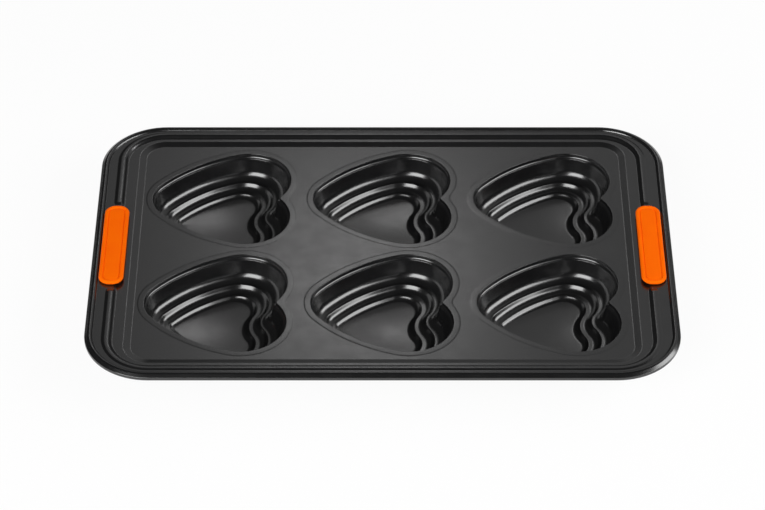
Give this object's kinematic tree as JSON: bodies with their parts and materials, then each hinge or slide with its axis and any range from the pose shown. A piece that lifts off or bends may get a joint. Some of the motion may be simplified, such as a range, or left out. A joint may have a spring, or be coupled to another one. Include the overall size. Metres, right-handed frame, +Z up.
{
  "type": "heart muffin pan",
  "caption": "Baking pan pressed from one dark coated sheet, with heart-shaped stepped cups, a ridged flange with a wired rolled rim, and soft grips on its short sides.",
  "frame": {"origin": "on the table under the pan's middle, level with the undersides of the cup floors", "axes": "+X along the pan's length, towards the grip that the hearts' lobes face; +Y to the back; +Z up, out of the cups"},
  "size_m": [0.3996, 0.2728, 0.0316],
  "materials": {
    "coating": "dark charcoal non-stick coating on steel sheet, satin gloss",
    "wire_steel": "bare drawn steel wire",
    "silicone": "bright orange moulded silicone, satin"
  },
  "bodies": {
    "root": {"pan_sheet": "coating", "rim_wire": "wire_steel", "grip_left": "silicone", "grip_right": "silicone"}
  },
  "joints": []
}
